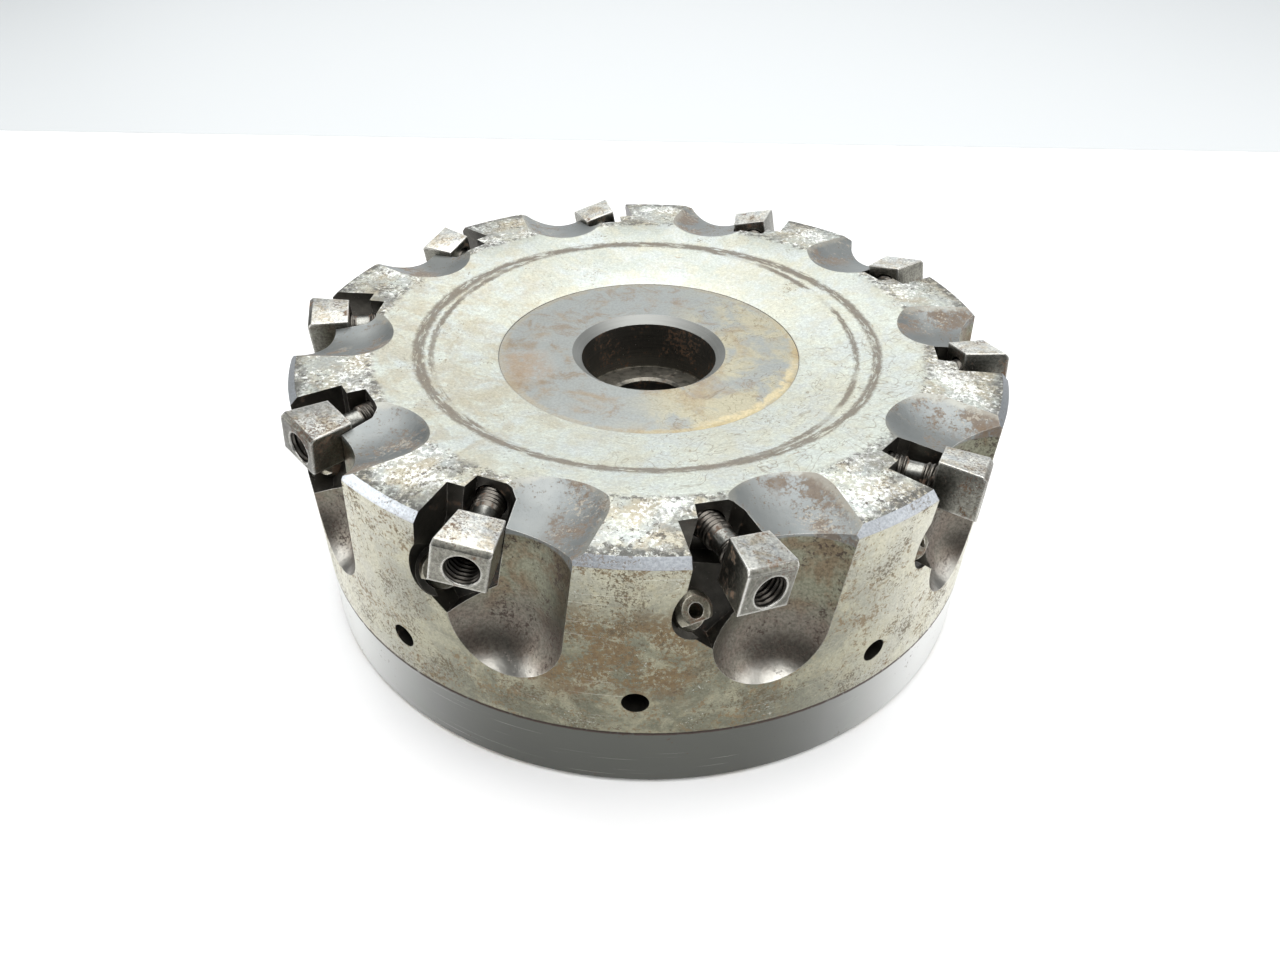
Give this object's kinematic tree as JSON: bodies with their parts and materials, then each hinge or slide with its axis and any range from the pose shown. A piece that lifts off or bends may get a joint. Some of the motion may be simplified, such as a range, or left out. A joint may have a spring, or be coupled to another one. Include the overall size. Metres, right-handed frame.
{
  "type": "indexable face mill",
  "caption": "Indexable face mill: round steel cutter body with angled insert pockets and gullets, each with a clamping wedge, differential screw and locator pin; the inserts are removed.",
  "frame": {"origin": "cutter axis at the back face (the face that sits on the arbor)", "axes": "+Z runs from the back face to the cutting face along the cutter axis; +X runs through one driving keyway"},
  "size_m": [0.1501, 0.1527, 0.0569],
  "materials": {
    "cutter_steel": "ground, oiled, light rust",
    "wedge_steel": "blackened, worn and rusty",
    "screw_steel": "black oxide, greasy",
    "pin_steel": "hardened, tarnished",
    "set_screw_steel": "black oxide"
  },
  "bodies": {
    "cutter": {"cutter_body": "cutter_steel", "locator_01": "pin_steel", "locator_02": "pin_steel", "locator_03": "pin_steel", "locator_04": "pin_steel", "locator_05": "pin_steel", "locator_06": "pin_steel", "locator_07": "pin_steel", "locator_08": "pin_steel", "locator_09": "pin_steel", "locator_10": "pin_steel"},
    "wedge_01": {"wedge_01": "wedge_steel"},
    "clamp_screw_01": {"clamp_screw_01": "screw_steel"},
    "lock_screw_01": {"lock_screw_01": "set_screw_steel"},
    "wedge_02": {"wedge_02": "wedge_steel"},
    "clamp_screw_02": {"clamp_screw_02": "screw_steel"},
    "lock_screw_02": {"lock_screw_02": "set_screw_steel"},
    "wedge_03": {"wedge_03": "wedge_steel"},
    "clamp_screw_03": {"clamp_screw_03": "screw_steel"},
    "lock_screw_03": {"lock_screw_03": "set_screw_steel"},
    "wedge_04": {"wedge_04": "wedge_steel"},
    "clamp_screw_04": {"clamp_screw_04": "screw_steel"},
    "lock_screw_04": {"lock_screw_04": "set_screw_steel"},
    "wedge_05": {"wedge_05": "wedge_steel"},
    "clamp_screw_05": {"clamp_screw_05": "screw_steel"},
    "lock_screw_05": {"lock_screw_05": "set_screw_steel"},
    "wedge_06": {"wedge_06": "wedge_steel"},
    "clamp_screw_06": {"clamp_screw_06": "screw_steel"},
    "lock_screw_06": {"lock_screw_06": "set_screw_steel"},
    "wedge_07": {"wedge_07": "wedge_steel"},
    "clamp_screw_07": {"clamp_screw_07": "screw_steel"},
    "lock_screw_07": {"lock_screw_07": "set_screw_steel"},
    "wedge_08": {"wedge_08": "wedge_steel"},
    "clamp_screw_08": {"clamp_screw_08": "screw_steel"},
    "lock_screw_08": {"lock_screw_08": "set_screw_steel"},
    "wedge_09": {"wedge_09": "wedge_steel"},
    "clamp_screw_09": {"clamp_screw_09": "screw_steel"},
    "lock_screw_09": {"lock_screw_09": "set_screw_steel"},
    "wedge_10": {"wedge_10": "wedge_steel"},
    "clamp_screw_10": {"clamp_screw_10": "screw_steel"},
    "lock_screw_10": {"lock_screw_10": "set_screw_steel"}
  },
  "joints": [
    {"name": "wedge_slide_01", "type": "slide", "parent": "cutter", "child": "wedge_01", "axis": [-0.9806, -0.1959, 0], "range_m": [-0.0059, 0.0012]},
    {"name": "clamp_screw_turn_01", "type": "hinge", "parent": "cutter", "child": "clamp_screw_01", "pos_m": [0.06664, -0.00716, 0.05108], "axis": [-0.9806, -0.1959, 0], "range_deg": [-1171, 239]},
    {"name": "lock_screw_turn_01", "type": "hinge", "parent": "cutter", "child": "lock_screw_01", "pos_m": [0.06089, -0.02097, 0.0226], "axis": [-0.9455, 0.3256, 0], "range_deg": [-360, 90]},
    {"name": "wedge_slide_02", "type": "slide", "parent": "cutter", "child": "wedge_02", "axis": [-0.6782, -0.7349, 0], "range_m": [-0.0049, 0.0022]},
    {"name": "clamp_screw_turn_02", "type": "hinge", "parent": "cutter", "child": "clamp_screw_02", "pos_m": [0.05813, 0.03338, 0.05108], "axis": [-0.6782, -0.7349, 0], "range_deg": [-973, 437]},
    {"name": "lock_screw_turn_02", "type": "hinge", "parent": "cutter", "child": "lock_screw_02", "pos_m": [0.06159, 0.01883, 0.0226], "axis": [-0.9563, -0.2924, 0], "range_deg": [-360, 90]},
    {"name": "wedge_slide_03", "type": "slide", "parent": "cutter", "child": "wedge_03", "axis": [-0.1167, -0.9932, 0], "range_m": [-0.0054, 0.0017]},
    {"name": "clamp_screw_turn_03", "type": "hinge", "parent": "cutter", "child": "clamp_screw_03", "pos_m": [0.0274, 0.06117, 0.05108], "axis": [-0.1167, -0.9932, 0], "range_deg": [-1072, 338]},
    {"name": "lock_screw_turn_03", "type": "hinge", "parent": "cutter", "child": "lock_screw_03", "pos_m": [0.03876, 0.05143, 0.0226], "axis": [-0.6018, -0.7986, 0], "range_deg": [-360, 90]},
    {"name": "wedge_slide_04", "type": "slide", "parent": "cutter", "child": "wedge_04", "axis": [0.4894, -0.8721, 0], "range_m": [-0.0066, 0.0005]},
    {"name": "clamp_screw_turn_04", "type": "hinge", "parent": "cutter", "child": "clamp_screw_04", "pos_m": [-0.01379, 0.0656, 0.05108], "axis": [0.4894, -0.8721, 0], "range_deg": [-1310, 100]},
    {"name": "lock_screw_turn_04", "type": "hinge", "parent": "cutter", "child": "lock_screw_04", "pos_m": [0.00112, 0.06439, 0.0226], "axis": [-0.0175, -0.9998, 0], "range_deg": [-360, 90]},
    {"name": "wedge_slide_05", "type": "slide", "parent": "cutter", "child": "wedge_05", "axis": [0.9085, -0.4179, 0], "range_m": [-0.0064, 0.0007]},
    {"name": "clamp_screw_turn_05", "type": "hinge", "parent": "cutter", "child": "clamp_screw_05", "pos_m": [-0.04971, 0.04496, 0.05108], "axis": [0.9085, -0.4179, 0], "range_deg": [-1271, 139]},
    {"name": "lock_screw_turn_05", "type": "hinge", "parent": "cutter", "child": "lock_screw_05", "pos_m": [-0.03694, 0.05275, 0.0226], "axis": [0.5736, -0.8192, 0], "range_deg": [-360, 90]},
    {"name": "wedge_slide_06", "type": "slide", "parent": "cutter", "child": "wedge_06", "axis": [0.9806, 0.1959, 0], "range_m": [-0.0042, 0.0029]},
    {"name": "clamp_screw_turn_06", "type": "hinge", "parent": "cutter", "child": "clamp_screw_06", "pos_m": [-0.06664, 0.00716, 0.05108], "axis": [0.9806, 0.1959, 0], "range_deg": [-834, 576]},
    {"name": "lock_screw_turn_06", "type": "hinge", "parent": "cutter", "child": "lock_screw_06", "pos_m": [-0.06089, 0.02097, 0.0226], "axis": [0.9455, -0.3256, 0], "range_deg": [-360, 90]},
    {"name": "wedge_slide_07", "type": "slide", "parent": "cutter", "child": "wedge_07", "axis": [0.6782, 0.7349, 0], "range_m": [-0.0038, 0.0033]},
    {"name": "clamp_screw_turn_07", "type": "hinge", "parent": "cutter", "child": "clamp_screw_07", "pos_m": [-0.05813, -0.03338, 0.05108], "axis": [0.6782, 0.7349, 0], "range_deg": [-755, 655]},
    {"name": "lock_screw_turn_07", "type": "hinge", "parent": "cutter", "child": "lock_screw_07", "pos_m": [-0.06159, -0.01883, 0.0226], "axis": [0.9563, 0.2924, 0], "range_deg": [-360, 90]},
    {"name": "wedge_slide_08", "type": "slide", "parent": "cutter", "child": "wedge_08", "axis": [0.1167, 0.9932, 0], "range_m": [-0.0014, 0.0057]},
    {"name": "clamp_screw_turn_08", "type": "hinge", "parent": "cutter", "child": "clamp_screw_08", "pos_m": [-0.0274, -0.06117, 0.05108], "axis": [0.1167, 0.9932, 0], "range_deg": [-278, 1132]},
    {"name": "lock_screw_turn_08", "type": "hinge", "parent": "cutter", "child": "lock_screw_08", "pos_m": [-0.03876, -0.05143, 0.0226], "axis": [0.6018, 0.7986, 0], "range_deg": [-360, 90]},
    {"name": "wedge_slide_09", "type": "slide", "parent": "cutter", "child": "wedge_09", "axis": [-0.4894, 0.8721, 0], "range_m": [-0.001, 0.0061]},
    {"name": "clamp_screw_turn_09", "type": "hinge", "parent": "cutter", "child": "clamp_screw_09", "pos_m": [0.01379, -0.0656, 0.05108], "axis": [-0.4894, 0.8721, 0], "range_deg": [-199, 1211]},
    {"name": "lock_screw_turn_09", "type": "hinge", "parent": "cutter", "child": "lock_screw_09", "pos_m": [-0.00112, -0.06439, 0.0226], "axis": [0.0175, 0.9998, 0], "range_deg": [-360, 90]},
    {"name": "wedge_slide_10", "type": "slide", "parent": "cutter", "child": "wedge_10", "axis": [-0.9085, 0.4179, 0], "range_m": [-0.0018, 0.0053]},
    {"name": "clamp_screw_turn_10", "type": "hinge", "parent": "cutter", "child": "clamp_screw_10", "pos_m": [0.04971, -0.04496, 0.05108], "axis": [-0.9085, 0.4179, 0], "range_deg": [-358, 1052]},
    {"name": "lock_screw_turn_10", "type": "hinge", "parent": "cutter", "child": "lock_screw_10", "pos_m": [0.03694, -0.05275, 0.0226], "axis": [-0.5736, 0.8192, 0], "range_deg": [-360, 90]}
  ],
  "couplings": [
    {"joint": "clamp_screw_turn_01", "follows": "wedge_slide_01", "rad_per_m": 3463.7},
    {"joint": "clamp_screw_turn_02", "follows": "wedge_slide_02", "rad_per_m": 3463.7},
    {"joint": "clamp_screw_turn_03", "follows": "wedge_slide_03", "rad_per_m": 3463.7},
    {"joint": "clamp_screw_turn_04", "follows": "wedge_slide_04", "rad_per_m": 3463.7},
    {"joint": "clamp_screw_turn_05", "follows": "wedge_slide_05", "rad_per_m": 3463.7},
    {"joint": "clamp_screw_turn_06", "follows": "wedge_slide_06", "rad_per_m": 3463.7},
    {"joint": "clamp_screw_turn_07", "follows": "wedge_slide_07", "rad_per_m": 3463.7},
    {"joint": "clamp_screw_turn_08", "follows": "wedge_slide_08", "rad_per_m": 3463.7},
    {"joint": "clamp_screw_turn_09", "follows": "wedge_slide_09", "rad_per_m": 3463.7},
    {"joint": "clamp_screw_turn_10", "follows": "wedge_slide_10", "rad_per_m": 3463.7}
  ]
}
